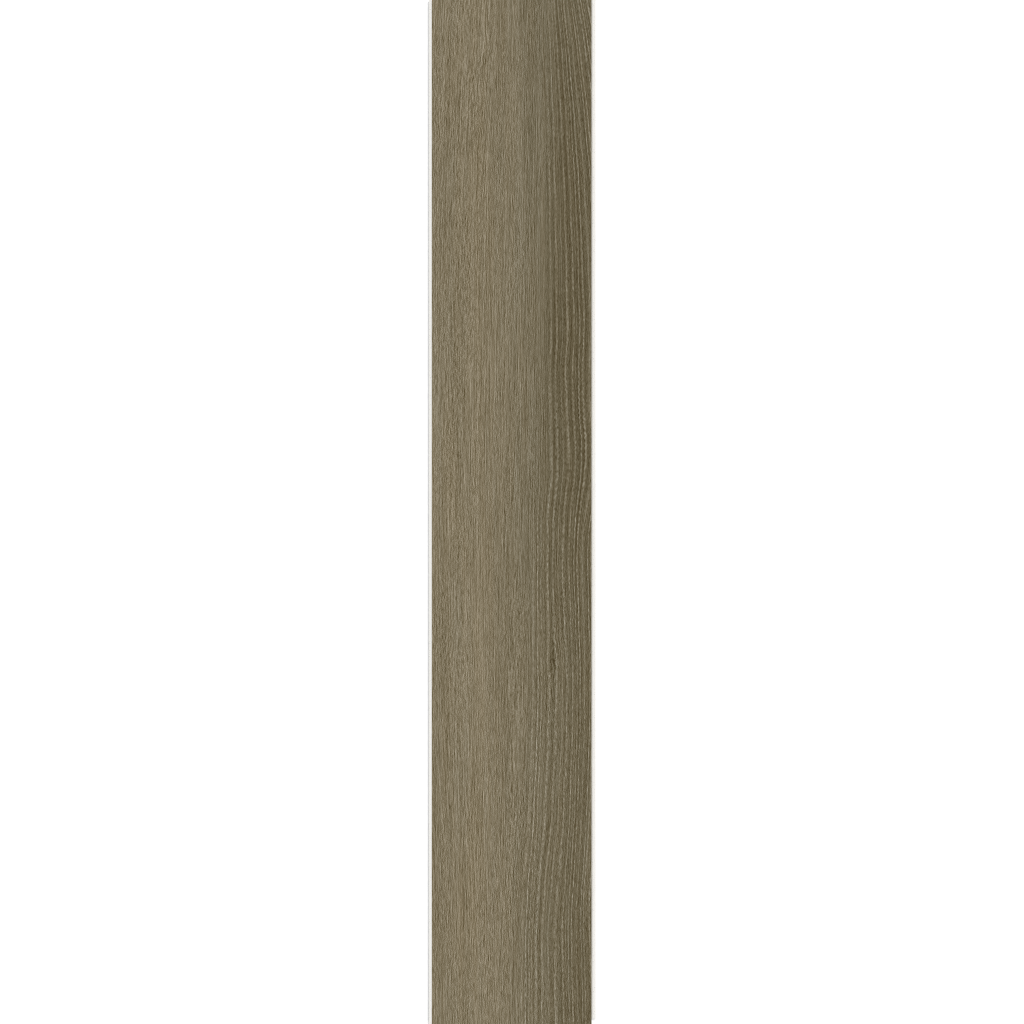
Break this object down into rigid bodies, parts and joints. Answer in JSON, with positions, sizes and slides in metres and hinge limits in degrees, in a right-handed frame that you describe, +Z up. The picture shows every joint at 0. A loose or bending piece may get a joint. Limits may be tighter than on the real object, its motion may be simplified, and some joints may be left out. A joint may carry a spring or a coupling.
{
  "type": "hybrid floor plank",
  "caption": "Long flat floor plank with a greyed oak decor face, angle-in tongue and groove locks along its sides and drop locks on its ends, laid floating and click by click.",
  "frame": {"origin": "on the underside, under the middle of the decor face", "axes": "+X across the plank from its tongue side to its groove side, +Y along it towards the end with the standing hook, +Z up out of the decor face"},
  "size_m": [0.1982, 1.2265, 0.0065],
  "materials": {
    "oak_decor_plank": "matt embossed wear layer over a greyed oak print, on a pale mineral and vinyl core"
  },
  "bodies": {
    "root": {"plank": "oak_decor_plank"}
  },
  "joints": []
}
